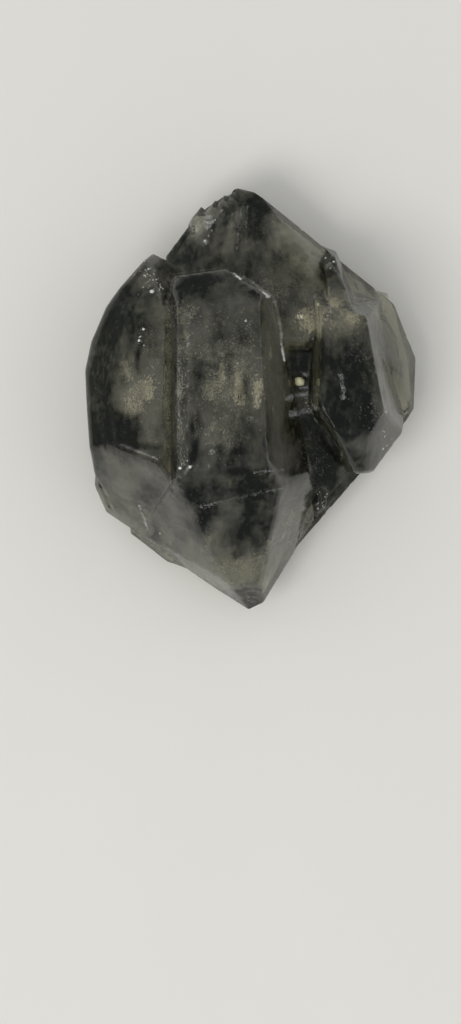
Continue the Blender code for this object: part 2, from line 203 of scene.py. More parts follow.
# A cloud of flecks. Its place, its depth under the surface, its sizes and the width of its flecks are in mm,
# its tilts in degrees. The shade says how pale its flecks are.
Cloud = namedtuple("Cloud", "x y depth width length thickness tilt_x tilt_y count fleck shade")
CLOUDS = [Cloud(*row) for row in (
    (-10.2, 0.2, 0.6, 2.6, 4.4, 0.6, 25, 20, 1170, 0.26, 0.8),
    (-9.3, 0.7, 0.72, 1.1, 1.8, 0.2, 10, 20, 624, 0.22, 1),
    (-10.6, -0.9, 0.84, 1.7, 1.6, 0.2, 10, 20, 546, 0.22, 1),
    (-11.4, 2.4, 0.96, 1, 2.6, 0.3, 20, 25, 468, 0.2, 0.9),
    (-9, 5.4, 0.8, 1.6, 3.6, 0.4, 20, 10, 260, 0.24, 0.45),
    (-6.4, 8, 0.6, 2.8, 1.7, 0.5, 15, -20, 420, 0.26, 0.6),
    (-2.7, 2, 0.72, 0.35, 2.4, 0.2, 5, 20, 208, 0.19, 1),
    (-1.3, 1, 0.6, 0.35, 3.2, 0.2, 5, 20, 338, 0.2, 1.2),
    (-0.8, 0.6, 0.6, 0.3, 2.4, 0.2, 5, 20, 208, 0.19, 1.2),
    (0.5, 0.4, 0.72, 0.4, 2.6, 0.2, 5, 20, 312, 0.19, 1.2),
    (-5, -2.6, 0.96, 0.4, 2, 0.2, 5, 20, 130, 0.17, 0.8),
    (-3.7, 0.6, 0.96, 1.4, 1.6, 0.3, 10, 20, 494, 0.22, 0.95),
    (-1.8, 2.6, 1.2, 5.4, 8, 1, 10, 8, 1300, 0.3, 0.34),
    (-2, 1, 0.5, 5, 3, 0.3, 5, 10, 650, 0.24, 0.6),
    (-7.5, 1, 0.72, 0.9, 15, 0.3, 0, 0, 900, 0.24, 0.6),
    (-2.2, -3.4, 1, 3.6, 3.4, 0.8, 10, 8, 500, 0.26, 0.4),
    (3.4, 11.4, 1, 5, 8, 1.2, 20, 25, 1700, 0.3, 0.5),
    (5.2, 7, 0.84, 1.7, 2.8, 0.3, 25, 10, 676, 0.24, 1.1),
    (5.5, 6.6, 0.48, 0.8, 1.2, 0.2, 25, 10, 338, 0.2, 1.3),
    (7.7, 8.5, 0.72, 1.3, 1, 0.3, 20, 10, 546, 0.22, 1.2),
    (9.1, 7, 0.84, 1.3, 1.1, 0.3, 20, 10, 442, 0.22, 1.1),
    (8.4, 7.4, 0.6, 3.4, 3.6, 0.5, 10, 10, 600, 0.28, 0.55),
    (8.2, 1.2, 0.5, 0.35, 2.4, 0.2, 5, 30, 150, 0.18, 0.7),
    (-6.2, 4.1, 0.5, 1.6, 8, 0.4, 5, 10, 700, 0.22, 0.45),
    (-3.6, -3, 0.7, 1, 1.4, 0.3, 10, 20, 130, 0.2, 0.6),
    (-1.9, -4.5, 0.5, 0.6, 1, 0.2, 10, 20, 117, 0.15, 0.8),
    (-4.1, 16, 0.96, 1, 0.4, 0.2, 10, 20, 104, 0.15, 0.9),
    (-1.2, -15.2, 0.7, 3.4, 1.4, 0.4, 20, 10, 420, 0.24, 0.7),
    (3, -12.2, 0.6, 0.8, 4.2, 0.3, 5, 30, 300, 0.22, 0.7),
    (4.5, -10.6, 0.6, 0.6, 4.6, 0.3, 5, 30, 390, 0.19, 0.8),
)]

# A cloud is thickest at its middle, and bowed. Its flecks gather in threads, and clouds narrower than
# THIN_CLOUD, in mm, have fewer gaps between them. One try in fifty that finds no room loses its fleck,
# so that every cloud ends.
CLOUD_SPREAD = (0.55, 0.55, 0.5)
BOW_HEIGHT = 1.5
BOW_SIZE = 1.5 * MM
THREAD_SIZE = 0.8 * MM
THREAD_NOISE = (0.6, 2.0, 3)
THREAD_EDGE = (-0.2, 0.6)
THIN_CLOUD = 0.5
THICK_FILL = 0.25
THIN_FILL = 0.6
CLOUD_MARGIN = 0.12 * MM
GIVE_UP = 0.02

# How the flecks of a cloud differ: width, with more small ones than large ones, length, shade and lean.
# Their corners are drawn in and out by CORNER_REACH.
FLECK_WIDTHS = (0.3, 1.0)
FLECK_SKEW = 1.5
FLECK_LENGTHS = (0.5, 1.0)
FLECK_THICKNESS = 0.22
FLECK_SHADES = (0.15, 1.0)
FLECK_LEAN = 0.35
CORNER_REACH = (0.6, 1.3)

# Faint wisps all through the stone: widths, depths and fleck width in mm, tilts in degrees
WISPS = 75
WISP_WIDTH = (0.5, 2.4)
WISP_NARROW = (0.3, 0.8)
WISP_THICKNESS = 0.25
WISP_DEPTH = (0.3, 4.0)
WISP_TILT = 50
WISP_FLECKS = 70
WISP_FLECK = 0.22
WISP_SHADE = (0.2, 0.7)
WISP_MARGIN = 0.4 * MM

# A crack, a growth line, a strip of tiny flakes, a painted highlight line or a painted reflection line. Its
# points, depth and width and the width of its flecks are in mm, and at depth 0 it lies on the surface.
Crack = namedtuple("Crack", "points depth width count fleck shade")
CRACKS_AND_PAINTED_HIGHLIGHTS = [Crack(*row) for row in (
    # The first three are painted highlight lines along the centre crystal's crests
    (((-1.6, 11.3), (-0.95, 10.6)), 0.03, 0.14, 130, 0.16, 1.0),
    (((-0.7, 10.95), (0.6, 10.1), (1.6, 9.0)), 0.03, 0.16, 360, 0.17, 1.0),
    (((2.1, 8.9), (2.5, 7.2), (2.8, 5.0), (3.0, 3.3)), 0.02, 0.14, 420, 0.18, 1.0),
    (((0.2, -6.8), (3.0, -6.5)), 0, 0.16, 90, 0.12, 0.12),
    (((-4.6, -9.9), (-1.4, -9.1), (3.1, -8.2)), 0, 0.16, 260, 0.12, 0.14),
    # These two are a painted bluish reflection down the edge of the centre crystal's left column
    (((-6.5, 4.6), (-6.3, 0.2), (-6.4, -3.0), (-6.2, -6.2)), 0.15, 0.5, 480, 0.16, 0.8),
    (((-6.5, 4.4), (-6.4, 0.2), (-6.5, -3.0), (-6.3, -6.2)), 0, 0.2, 110, 0.14, 0.25),
    (((-7.8, -13.5), (-0.7, -18.9)), 0, 0.16, 150, 0.13, 0.35),
    (((-0.9, 17.4), (-1.3, 13.4)), 0, 0.14, 90, 0.12, 0.12),
    (((-1.7, 17.0), (-2.0, 14.6)), 0, 0.12, 45, 0.12, 0.08),
    (((-0.3, 17.6), (-0.5, 15.0)), 0, 0.12, 45, 0.12, 0.08),
    (((-4.3, 16.6), (-3.5, 16.6)), 0, 0.16, 60, 0.13, 0.4),
    (((-4.4, 16.1), (-3.4, 16.1)), 0, 0.16, 80, 0.13, 0.45),
    (((-4.2, 15.7), (-3.6, 15.7)), 0, 0.14, 40, 0.13, 0.3),
    (((-4.3, 14.5), (-4.0, 14.1)), 0, 0.22, 40, 0.13, 0.4),
    (((7.2, 12.3), (9.2, 9.2)), 0, 0.12, 120, 0.12, 0.18),
    (((-1.1, -17.1), (1.0, -17.1)), 0, 0.12, 60, 0.12, 0.10),
    (((-0.8, -17.6), (0.9, -17.6)), 0, 0.12, 50, 0.12, 0.08),
    (((-0.5, -18.1), (0.7, -18.1)), 0, 0.12, 40, 0.12, 0.10),
    (((-0.3, -18.5), (0.4, -18.5)), 0, 0.12, 26, 0.12, 0.08),
    (((8.1, 2.1), (8.4, -0.2)), 0, 0.24, 200, 0.13, 0.16),
    (((-10.2, -9.7), (-9.4, -11.9)), 0, 0.10, 110, 0.13, 0.75),
    (((3.1, -0.2), (4.2, 0.3), (5.2, 0.2)), 0, 0.26, 300, 0.12, 0.22),
    (((3.4, -1.6), (4.6, -1.2), (5.9, -0.9)), 0, 0.34, 420, 0.12, 0.24),
    (((4.4, 0.9), (5.4, 1.0)), 0, 0.16, 90, 0.12, 0.1),
    (((9.6, -0.8), (12.0, -3.0)), 0, 1.6, 60, 0.12, 0.07),
    (((9.0, 4.6), (11.2, 2.0)), 0, 2.0, 60, 0.12, 0.05),
    (((4.2, -3.8), (7.0, -7.0)), 0, 1.7, 110, 0.13, 0.05),
    (((-3.6, -1.8), (-1.2, -6.0)), 0, 2.4, 50, 0.13, 0.06),
    (((-2.1, -4.1), (-1.9, -5.2)), 0.2, 0.36, 110, 0.15, 0.9),
    (((-3.7, -4.8), (-3.4, -5.1)), 0.2, 0.34, 60, 0.15, 0.8),
    (((-0.4, -1.9), (0.1, -2.0)), 0.2, 0.24, 70, 0.15, 1.0),
    (((-4.9, -2.5), (-4.8, -3.6)), 0.2, 0.36, 80, 0.15, 0.7),
    (((-2.9, 3.9), (-2.4, 3.8)), 0.2, 0.26, 50, 0.15, 0.6),
    (((-6.5, 0.7), (-6.3, -0.2)), 0.15, 0.36, 90, 0.15, 1.0),
    (((-5.2, -8.2), (-4.0, -12.0)), 0, 1.2, 22, 0.12, 0.05),
    (((-13.6, -2.0), (-11.6, 7.0)), 0, 2.2, 30, 0.12, 0.03),
    (((-5.0, 8.2), (0.4, 6.0)), 0, 2.4, 90, 0.12, 0.08),
)]

# How the flecks of a crack differ: depth, lean, width and shade. CRACK_FLECK is their length, width and
# thickness, as shares.
CRACK_DEPTHS = (1.0, 2.0)
CRACK_LEAN = 0.5
CRACK_WIDTHS = (0.5, 1.2)
CRACK_FLECK = (1.4, 0.6, 0.2)
CRACK_SHADES = (0.5, 1.1)

# Bright beige streaks under the surface, given in the same way as the cracks
STREAKS = [Crack(*row) for row in (
    (((-1.15, 2.2), (-1.05, -0.7)), 0.3, 0.34, 190, 0.2, 1.0),
    (((-0.7, 1.2), (-0.7, -0.7)), 0.3, 0.22, 90, 0.2, 0.9),
    (((-2.7, 3.0), (-2.5, 1.3)), 0.3, 0.26, 100, 0.2, 0.9),
    (((0.6, 1.4), (0.5, -0.9)), 0.3, 0.36, 150, 0.2, 0.95),
    (((-3.8, 1.2), (-3.6, -0.3)), 0.3, 0.40, 110, 0.2, 0.8),
    (((-9.3, 1.5), (-9.1, -0.2)), 0.3, 0.50, 150, 0.2, 0.95),
    (((-11.4, 3.2), (-11.0, 1.4)), 0.3, 0.40, 120, 0.2, 0.9),
    (((-10.9, 0.0), (-10.3, -1.6)), 0.3, 0.60, 150, 0.2, 0.9),
    (((4.5, 7.9), (5.7, 6.1)), 0.10, 0.9, 330, 0.2, 1.0),
    (((7.2, 8.6), (7.9, 8.2)), 0.3, 0.50, 120, 0.2, 1.0),
    (((8.8, 7.4), (9.3, 6.8)), 0.3, 0.50, 110, 0.2, 1.0),
    (((-6.5, -2.6), (-6.4, -3.4)), 0.10, 0.3, 40, 0.16, 0.8),
    (((-1.2, -15.6), (2.2, -13.4), (4.2, -10.4)), 0.3, 0.9, 420, 0.2, 0.45),
)]

# A pale grain on the surface, some of them painted sparkles: its place and width in mm
Grain = namedtuple("Grain", "x y width")
GRAINS_AND_SPARKLES = [Grain(*row) for row in (
    # The first six grains are painted sparkles on the left tip
    (-8.97, 9.58, 0.48),
    (-9.3, 11.7, 0.17),
    (-9.7, 11.1, 0.17),
    (-8.6, 10.7, 0.20),
    (-8.2, 10.0, 0.25),
    (-8.0, 9.85, 0.20),
    (-9.7, 6.1, 0.28),
    (-10.1, 5.1, 0.25),
    (-6.4, -6.4, 0.34),
    (-5.5, -6.3, 0.36),
    (-8.3, -12.3, 0.20),
    (12.0, -4.6, 0.22),
    (12.2, -1.3, 0.17),
    (6.8, 12.8, 0.22),
    (7.5, 12.4, 0.25),
    (7.2, 11.8, 0.17),
    (-4.2, 14.4, 0.31),
    (-0.5, 6.8, 0.20),
)]

# A patch strewn with tiny pale grains, painted sparkles: its middle and half widths in mm, and how many there
# are
PaintedSparklePatch = namedtuple("PaintedSparklePatch", "x y half_x half_y count")
PAINTED_SPARKLE_PATCHES = [PaintedSparklePatch(*row) for row in (
    (-9.2, 11.0, 1.0, 1.6, 24),
    (-8.4, 10.2, 0.5, 0.7, 8),
    (-10.0, 5.7, 0.4, 1.1, 10),
    (-5.6, -6.1, 1.0, 0.5, 7),
    (6.6, -9.6, 0.6, 1.2, 12),
    (12.2, -3.6, 0.6, 1.8, 8),
    (-3.9, 15.4, 0.9, 1.2, 6),
)]
PAINTED_SPARKLE_WIDTH = (0.05, 0.14)
PAINTED_SPARKLE_SPREAD = 0.5

# Grains are squeezed and lumpy balls. The yellowish one, a painted glint, lies in the small pit, at this
# place in mm.
GRAIN_SQUEEZE = (0.75, 1.1)
GRAIN_LUMP = 0.25
GRAIN_LUMPS = 3
NOISE_SPAN = 50
GRAIN_SINK = 0.1
PAINTED_GLINT_PLACE = (4.40, 1.49)
PAINTED_GLINT_RISE = 0.45

# Finish of the glass. Scales of noise are per metre. SMOKE_MOTTLE says how far each size of patch changes
# the smoke, and GLASS_ROUGHNESS runs from clean to dusty glass.
QUARTZ_IOR = 1.55
SEE_THROUGH = 0.92
SMOKE_MOTTLE = ((700.0, 0.2), (2200.0, 0.2))
MOTTLE_CONTRAST = 0.22
DUST_SPOTS = (900.0, 0.3)
GLASS_ROUGHNESS = (0.06, 0.2)
WORN_ROUGHNESS = 0.35
LINE_SCALE = (180.0, 2600.0, 180.0)
GRIT_SCALE = 5200.0
GRIT_SHARE = 0.25
RELIEF_DEPTH = 0.012 * MM

# Spots on the other finishes: their scale and contrast, and how dark they are
FLECK_SPOTS = (2400.0, 0.3)
FLECK_SPOT_SHARE = 0.4
FLECK_DARK = 0.6
GRAIN_SPOTS = (3000.0, 0.25)
GRAIN_DARK = 0.62
GRAIN_ROUGHNESS = (0.45, 0.2)
FLOOR_SPOTS = (40.0, 0.5)
FLOOR_DARK = 0.96

# The mix node has sockets for numbers, vectors and colours. These are the factor, the two colours and the
# mixed colour.
MIX_INPUTS = (0, 6, 7)
MIX_OUTPUT = 2

# Studio
LAMP_COLOUR = (1.0, 0.985, 0.95)
LAMP_DIRECTION = Vector((-0.5, -0.45, 1.0)).normalized()
LAMP_DISTANCE = 0.7
FLOOR_LEVEL = -0.02 * MM
SENSOR_HEIGHT = 36.0
CLIP_END = 10.0


class CrystalSettings(bpy.types.PropertyGroup):
    """Sizes of the crystal faces' fine shape."""

    mesh_step: FloatProperty(
        name="Mesh step", description="Longest edge of the refined mesh", default=0.36 * MM, unit="LENGTH"
    )
    wave_height: FloatProperty(
        name="Wave height", description="Height of the faces' slow waves", default=0.022 * MM, unit="LENGTH"
    )
    wave_length: FloatProperty(
        name="Wave length", description="Length of the faces' slow waves", default=3.2 * MM, unit="LENGTH"
    )
    line_height: FloatProperty(
        name="Growth line height", description="Height of the growth steps", default=0.010 * MM, unit="LENGTH"
    )
    line_spacing: FloatProperty(
        name="Growth line spacing", description="Mean distance of the growth steps",
        default=0.9 * MM, unit="LENGTH",
    )
    soft_rounds: IntProperty(
        name="Softening", description="How far the ridges are rounded off",
        default=7, min=0,
    )
    edge_wear: FloatProperty(
        name="Edge wear", description="How far worn edges are drawn in", default=0.045 * MM, unit="LENGTH"
    )
    chips: IntProperty(name="Chips", description="Number of small chips along the edges", default=150, min=0)
    chip_width: FloatProperty(
        name="Chip width", description="Width of the largest chip", default=1.1 * MM, unit="LENGTH"
    )


class SmokeSettings(bpy.types.PropertyGroup):
    """Colours of the smoky glass."""

    clear: FloatVectorProperty(
        name="Clear tint", description="Tint of the clearest zones",
        default=(0.95, 0.93, 0.80), subtype="COLOR",
    )
    smoky: FloatVectorProperty(
        name="Smoky tint", description="Tint of the darkest zones",
        default=(0.03, 0.032, 0.027), subtype="COLOR",
    )
    film: FloatVectorProperty(
        name="Dust film", description="Colour of the dust in worn places",
        default=(0.80, 0.79, 0.74), subtype="COLOR",
    )
    absorbed: FloatVectorProperty(
        name="Absorption colour", description="What the smoke lets pass",
        default=(0.68, 0.675, 0.60), subtype="COLOR",
    )
    smoke: FloatProperty(name="Smoke", description="How smoky the stone is outside its zones", default=0.5)
    smoke_patches: FloatProperty(
        name="Smoke patches", description="How much the smoke varies from place to place", default=0.6
    )
    density: FloatProperty(
        name="Smoke density", description="How fast the smoke takes up light, per metre", default=260.0
    )


class InclusionSettings(bpy.types.PropertyGroup):
    """Colours of what the crystals hold and carry."""

    pale: FloatVectorProperty(
        name="Pale flecks", description="Colour of the brightest flecks",
        default=(0.95, 0.89, 0.68), subtype="COLOR",
    )
    dull: FloatVectorProperty(
        name="Dull flecks", description="Colour of the dullest flecks",
        default=(0.12, 0.11, 0.075), subtype="COLOR",
    )
    crack_dull: FloatVectorProperty(
        name="Dull cracks", description="Colour of the faintest cracks",
        default=(0.07, 0.075, 0.072), subtype="COLOR",
    )
    grain: FloatVectorProperty(
        name="Grains", description="Colour of the surface grains", default=(0.86, 0.87, 0.84), subtype="COLOR"
    )
    # The pit grain's colour is a painted glint, yellowish white
    pit_grain: FloatVectorProperty(
        name="Pit grain", description="Colour of the grain in the pit",
        default=(1.0, 0.97, 0.62), subtype="COLOR",
    )
    painted_glint_width: FloatProperty(
        name="Pit grain width", description="Width of the grain in the pit", default=1.15 * MM, unit="LENGTH"
    )


class StudioSettings(bpy.types.PropertyGroup):
    """Sizes and colours of the studio."""

    floor: FloatVectorProperty(
        name="Floor", description="Colour of the floor", default=(0.80, 0.79, 0.74), subtype="COLOR"
    )
    floor_width: FloatProperty(
        name="Floor width", description="Width of the floor",
        default=1.2, unit="LENGTH",
    )
    camera_height: FloatProperty(
        name="Camera height", description="Camera's height over the stone", default=0.6, unit="LENGTH"
    )
    lamp_width: FloatProperty(
        name="Lamp width", description="Width of the soft lamp",
        default=0.34, unit="LENGTH",
    )
    lamp_power: FloatProperty(
        name="Lamp power", description="Power of the soft lamp", default=1.6, unit="POWER"
    )
    sky: FloatProperty(
        name="Sky", description="Even light that falls on the floor and the stone",
        default=0.68,
    )
    sky_mirrored: FloatProperty(
        name="Mirrored sky", description="How bright the dark studio looks in the faces", default=0.2
    )
    sky_colour: FloatVectorProperty(
        name="Sky colour", description="Colour of the even light", default=(0.97, 0.98, 1.0), subtype="COLOR"
    )
    mirrored_colour: FloatVectorProperty(
        name="Mirrored colour", description="Colour of the dark studio",
        default=(0.88, 1.0, 0.97), subtype="COLOR",
    )


def link(thing):
    """Puts an object in the scene."""
    bpy.context.scene.collection.objects.link(thing)
    return thing


def finish_piece(piece):
    """Lets a piece ride on the stone's body."""
    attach(piece, BODY)


def smooth_piece(name, bm):
    """A smooth mesh object from a bmesh, which is freed."""
    mesh = bpy.data.meshes.new(name)
    bm.to_mesh(mesh)
    bm.free()
    mesh.shade_smooth()
    return link(bpy.data.objects.new(name, mesh))


def welded_stone():
    """The stone's solid as a bmesh whose triangles share their vertices."""
    bm = bmesh.new()
    bm.from_mesh(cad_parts[NODE].data)
    bmesh.ops.remove_doubles(bm, verts=bm.verts, dist=WELD)
    return bm


def stone_tree():
    """The stone's solid, ready for rays and for the nearest place on it."""
    bm = welded_stone()
    tree = BVHTree.FromBMesh(bm)
    bm.free()
    return tree


def top_of_stone(tree, x, y):
    """The highest place of the stone at x, y, and the face's normal there, or None beside the stone."""
    place, normal, _, _ = tree.ray_cast(Vector((x, y, RAY_HEIGHT)), -UP)
    return (place, normal) if place is not None else None


def place_on_stone(tree, x, y, what):
    """The highest place of the stone at x, y, for something that has to lie over it."""
    hit = top_of_stone(tree, x, y)
    if hit is None:
        raise RuntimeError(f"There is no stone under the {what} at {x / MM:.2f}, {y / MM:.2f} mm")
    return hit[0]


def is_inside(tree, point, margin):
    """True if a point lies in the stone, at least margin from its surface."""
    place, normal, _, distance = tree.find_nearest(point)
    return distance > margin and (point - place).dot(normal) < 0


# Fine shape of the crystals


def refined_stone(step):
    """The stone's solid as a bmesh, with its flat faces cut into triangles no longer than step."""
    bm = welded_stone()
    bmesh.ops.dissolve_limit(bm, angle_limit=FLAT_ANGLE, verts=bm.verts, edges=bm.edges)
    bmesh.ops.triangulate(bm, faces=bm.faces)
    longest = max(e.calc_length() for e in bm.edges)
    for _ in range(math.ceil(math.log2(longest / step)) + 1):
        long_edges = [e for e in bm.edges if e.calc_length() > step]
        bmesh.ops.subdivide_edges(bm, edges=long_edges, cuts=1)
        bmesh.ops.triangulate(bm, faces=[f for f in bm.faces if len(f.verts) > 3])
    return bm


def crease_rings(bm):
    """For each vertex, 0 on a crease, 1 beside one, 2 beside that, and 3 further in."""
    rings = np.full(len(bm.verts), 3)
    ring = set()
    for edge in bm.edges:
        if len(edge.link_faces) == 2 and edge.calc_face_angle() > CREASE_ANGLE:
            ring.update(v.index for v in edge.verts)
    for distance in range(3):
        rings[list(ring)] = distance
        around = set()
        for index in ring:
            around.update(e.other_vert(bm.verts[index]).index for e in bm.verts[index].link_edges)
        ring = {i for i in around if rings[i] == 3}
    return rings


def may_soften(points):
    """1 on the large upper crystals, 0 on the outline, the small crystals and the crisp boxes."""
    share = np.clip((points[:, 2] - SOFT_ABOVE) / MM, 0, 1)
    for low_x, low_y, high_x, high_y in CRISP_BOXES:
        x, y = points[:, 0] / MM, points[:, 1] / MM
        share[(x > low_x) & (x < high_x) & (y > low_y) & (y < high_y)] = 0
    return share


def soften(points, pairs, share, rounds):
    """Draws each vertex towards the middle of its neighbours, as far as its share says, in several rounds."""
    count = np.zeros(len(points))
    for column in (0, 1):
        np.add.at(count, pairs[:, column], 1)
    for _ in range(rounds):
        total = np.zeros_like(points)
        np.add.at(total, pairs[:, 0], points[pairs[:, 1]])
        np.add.at(total, pairs[:, 1], points[pairs[:, 0]])
        points += (total / count[:, None] - points) * share[:, None]


def growth_height(point, normal, settings):
    """How far growth raises a place of a face: slow waves, and steps across the crystals' long axis."""
    fine_wave = FINE_WAVE_HEIGHT * noise.noise(point * FINE_WAVE / settings.wave_length)
    wave = noise.noise(point / settings.wave_length) + fine_wave
    bend_place = point * STEP_BEND_RATIO / settings.wave_length + STEP_BEND_PLACE
    bend = STEP_BEND * noise.noise(bend_place)
    level = point.y / settings.line_spacing + bend + FACE_SHIFT * normal.x
    step = math.floor(level)
    rise = level - step
    kind = (round(FACE_KINDS * normal.x), round(FACE_KINDS * normal.z))
    strength = 0.5 + 0.5 * noise.cell(Vector((step, *kind)))
    ramp = min(rise / STEP_RISE, (1 - rise) / STEP_FALL)
    return settings.wave_height * wave + settings.line_height * strength * (1 - abs(normal.y)) * ramp


def chip_away(points, normals, crease, settings, rng):
    """Scoops small shell-shaped chips out of the creases. Returns how deep each vertex now lies in one."""
    depth = np.zeros(len(points))
    for index in rng.choice(crease, settings.chips, replace=False):
        radius = settings.chip_width / 2 * (CHIP_LEAST + (1 - CHIP_LEAST) * rng.random() ** 3)
        centre = points[index] + normals[index] * radius * CHIP_LIFT
        away = np.linalg.norm(points - centre, axis=1)
        inside = (away < radius) & (points[:, 2] > FOOT_HEIGHT)
        push = radius - away[inside]
        ripple = 1 + CHIP_RIPPLE * np.sin(away[inside] / radius * CHIP_RIPPLES)
        direction = (points[inside] - centre) / np.maximum(away[inside], NEARLY_ZERO)[:, None]
        points[inside] += direction * (push * ripple)[:, None] * CHIP_CUT
        depth[inside] = np.maximum(depth[inside], push)
    return depth


def smoke_and_shade_amounts(points, settings):
    """How smoky each place is, from 0 to 1: patches of several sizes, and the zones, of which a few are
    painted shade.
    """
    streaky = points * (1.0, STREAK_STRETCH, 1.0)
    patchy = np.array([noise.fractal(Vector(p) / PATCH_SIZE, *PATCH_NOISE) for p in streaky])
    smoke = settings.smoke + settings.smoke_patches * patchy
    noise.seed_set(BEND_SEED)
    bend = np.array([noise.noise_vector(Vector(p) / BEND_SIZE) for p in points])
    x = points[:, 0] / MM + BEND_REACH * bend[:, 0]
    y = points[:, 1] / MM + BEND_REACH * bend[:, 1]
    for zone in SMOKE_AND_SHADE_ZONES:
        away = ((x - zone.x) / zone.half_x) ** 2 + ((y - zone.y) / zone.half_y) ** 2
        smoke += zone.change * np.exp(-(away**ZONE_EDGE))
    return np.clip(smoke, 0, 1)


def add_layer(mesh, name, values):
    """Stores one number for each vertex of a mesh, for its material to read."""
    layer = mesh.attributes.new(name, "FLOAT", "POINT")
    layer.data.foreach_set("value", values.astype(np.float32))


def make_crystals(settings, smoke_settings):
    """The crystal group with worn edges, chips, slow waves and growth steps on its faces."""
    bm = refined_stone(settings.mesh_step)
    bm.normal_update()
    bm.verts.ensure_lookup_table()
    bm.verts.index_update()
    rings = crease_rings(bm)
    points = np.array([v.co for v in bm.verts])
    normals = np.array([v.normal for v in bm.verts])
    free = np.clip(points[:, 2] / FOOT_HEIGHT, 0, 1)
    height = np.array([growth_height(v.co, v.normal, settings) for v in bm.verts])
    uneven = np.array([abs(noise.noise(v.co / WORN_SIZE)) for v in bm.verts])
    worn = WORN_LEAST + (1 - WORN_LEAST) * uneven * 2
    on_ridge = [rings == 0, rings == 1]
    pull = np.select(on_ridge, RING_PULL, 0.0) * worn * settings.edge_wear
    pairs = np.array([[v.index for v in e.verts] for e in bm.edges])
    soften(points, pairs, SOFT_SHARE * (rings < 3) * may_soften(points), settings.soft_rounds)
    points += normals * ((height - pull) * free)[:, None]
    rng = np.random.default_rng(CHIP_SEED)
    crease = np.flatnonzero((rings == 0) & (points[:, 2] > CHIPS_ABOVE))
    chip_depth = chip_away(points, normals, crease, settings, rng)
    stone = smooth_piece("crystal_group", bm)
    mesh = stone.data
    mesh.vertices.foreach_set("co", points.astype(np.float32).ravel())
    wear = np.clip(np.select(on_ridge, RING_DUST, 0.0) * worn, 0, 1)
    wear = np.maximum(wear, np.clip(chip_depth / CHIP_DUST_DEPTH, 0, CHIP_DUST))
    add_layer(mesh, "wear", wear)
    # The smoke amount darkens the glass's tint, and in a few zones it is painted shade
    add_layer(mesh, "smoke", smoke_and_shade_amounts(points, smoke_settings))
    mesh.update()
    mesh.set_sharp_from_angle(angle=SMOOTH_ANGLE)
    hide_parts(NODE)
    return stone


# Flecks, cracks and grains, with painted highlight lines, sparkles and a glint among them


def flecks(centres, sizes, axes, rng):
    """The points and the triangles of flat eight-sided flecks, each with its own size and axes."""
    corners = np.array([(1, 0, 0), (-1, 0, 0), (0, 1, 0), (0, -1, 0), (0, 0, 1), (0, 0, -1)], float)
    upper = [(0, 2, 4), (2, 1, 4), (1, 3, 4), (3, 0, 4)]
    lower = [(2, 0, 5), (1, 2, 5), (3, 1, 5), (0, 3, 5)]
    triangles = np.array(upper + lower)
    count = len(centres)
    stretch = corners[None] * sizes[:, None, :] * rng.uniform(*CORNER_REACH, (count, 6, 1))
    points = centres[:, None, :] + np.einsum("nij,nkj->nki", axes, stretch)
    faces = triangles[None] + 6 * np.arange(count)[:, None, None]
    return points.reshape(-1, 3), faces.reshape(-1, 3)


def tilted_axes(tilt_x, tilt_y, count, rng):
    """Axes for flecks that lie in a tilted plane, each turned and leant a little its own way."""
    plane = Matrix.Rotation(math.radians(tilt_y), 3, "Y") @ Matrix.Rotation(math.radians(tilt_x), 3, "X")
    axes = np.empty((count, 3, 3))
    for i in range(count):
        turn = Matrix.Rotation(rng.uniform(0, math.pi), 3, "Z")
        lean_x = Matrix.Rotation(rng.normal(0, FLECK_LEAN), 3, "X")
        lean_y = Matrix.Rotation(rng.normal(0, FLECK_LEAN), 3, "Y")
        axes[i] = np.array(plane @ (lean_x @ lean_y) @ turn)
    return axes, plane


def cloud_flecks(cloud, tree, rng):
    """The flecks of one cloud: many in its threads and few between them, all inside the stone."""
    top = place_on_stone(tree, cloud.x * MM, cloud.y * MM, "cloud")
    middle = top - UP * cloud.depth * MM
    half = Vector((cloud.width, cloud.length, cloud.thickness)) * MM / 2
    axes, plane = tilted_axes(cloud.tilt_x, cloud.tilt_y, cloud.count, rng)
    fill = THICK_FILL if cloud.width > THIN_CLOUD else THIN_FILL
    centres = []
    while len(centres) < cloud.count:
        flat = Vector([rng.normal() * share * side for share, side in zip(CLOUD_SPREAD, half)])
        bow = Vector((0, 0, half.z * BOW_HEIGHT * noise.noise(flat / BOW_SIZE)))
        place = middle + plane @ (flat + bow)
        thread = noise.fractal(place / THREAD_SIZE, *THREAD_NOISE) + fill
        if thread < rng.uniform(*THREAD_EDGE) or not is_inside(tree, place, CLOUD_MARGIN):
            if rng.random() < GIVE_UP:
                centres.append(None)
            continue
        centres.append(place)
    kept = [i for i, c in enumerate(centres) if c is not None]
    centres = np.array([centres[i] for i in kept])
    axes = axes[kept]
    count = len(centres)
    width = cloud.fleck * MM * rng.uniform(*FLECK_WIDTHS, count) ** FLECK_SKEW
    length = width * rng.uniform(*FLECK_LENGTHS, count)
    sizes = np.stack([width, length, width * FLECK_THICKNESS], axis=1) / 2
    points, faces = flecks(centres, sizes, axes, rng)
    shade = np.repeat(np.clip(cloud.shade * rng.uniform(*FLECK_SHADES, count), 0, 1), 6)
    return points, faces, shade


def wisps(tree, rng):
    """Faint small clouds at scattered places inside the stone."""
    low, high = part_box(NODE)
    found = []
    while len(found) < WISPS:
        x, y = rng.uniform(low.x, high.x), rng.uniform(low.y, high.y)
        top = top_of_stone(tree, x, y)
        depth = rng.uniform(*WISP_DEPTH)
        if top is None or not is_inside(tree, top[0] - UP * depth * MM, WISP_MARGIN):
            continue
        width = rng.uniform(*WISP_WIDTH)
        size = (width * rng.uniform(*WISP_NARROW), width, WISP_THICKNESS)
        tilts = rng.uniform(-WISP_TILT, WISP_TILT, 2)
        shade = rng.uniform(*WISP_SHADE)
        found.append(Cloud(x / MM, y / MM, depth, *size, *tilts, WISP_FLECKS, WISP_FLECK, shade))
    return found


